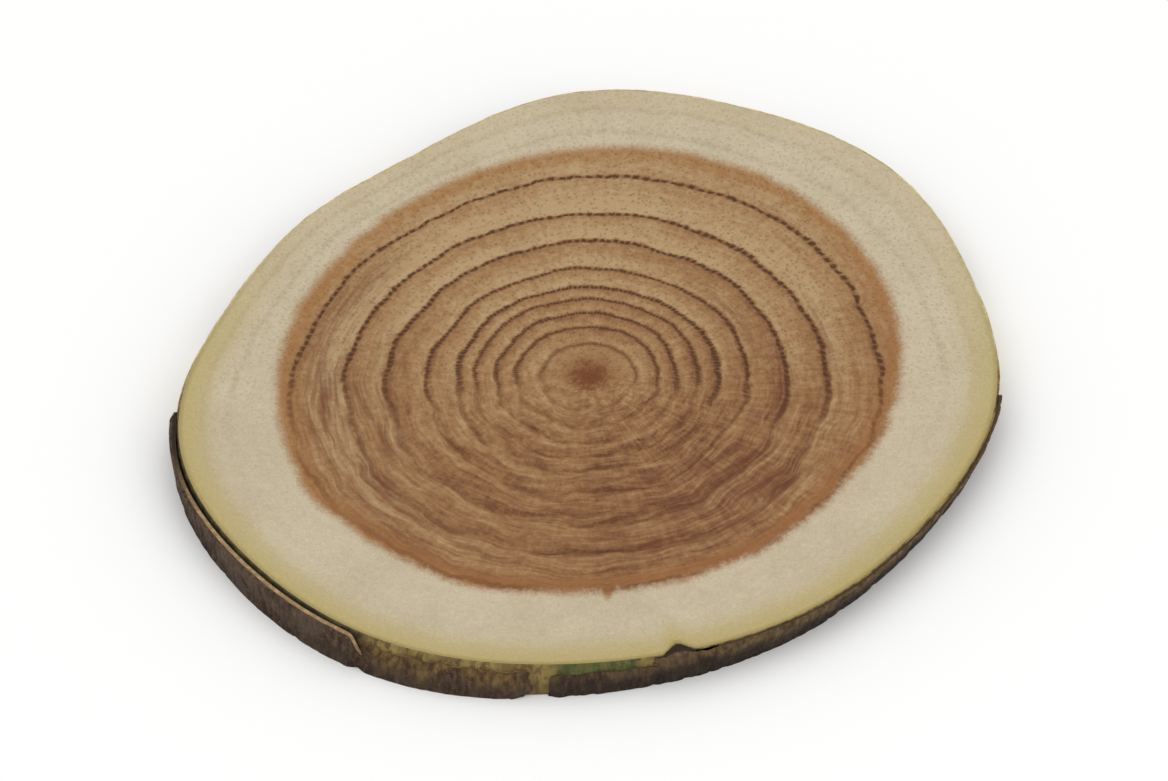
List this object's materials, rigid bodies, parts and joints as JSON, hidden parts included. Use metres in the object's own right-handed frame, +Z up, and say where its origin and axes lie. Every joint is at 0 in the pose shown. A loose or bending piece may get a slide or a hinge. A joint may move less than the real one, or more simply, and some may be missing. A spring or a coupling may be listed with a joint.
{
  "type": "wood slice",
  "caption": "Thin disc sawn across a branch, with growth rings on its flat upper face, a pale sapwood edge and a rim of torn bark; lies flat as a craft blank or coaster.",
  "frame": {"origin": "the pith, where it meets the flat underside that the slice rests on", "axes": "+Z up through the slice's thickness, along the branch; +X the way the upper face is shifted by the slanted cut"},
  "size_m": [0.0685, 0.0679, 0.0031],
  "materials": {
    "wood": "sawn, unsealed: red-brown heartwood, cream sapwood, yellow-green inner bark and dark brown bark"
  },
  "bodies": {
    "root": {"wood_slice": "wood"}
  },
  "joints": []
}
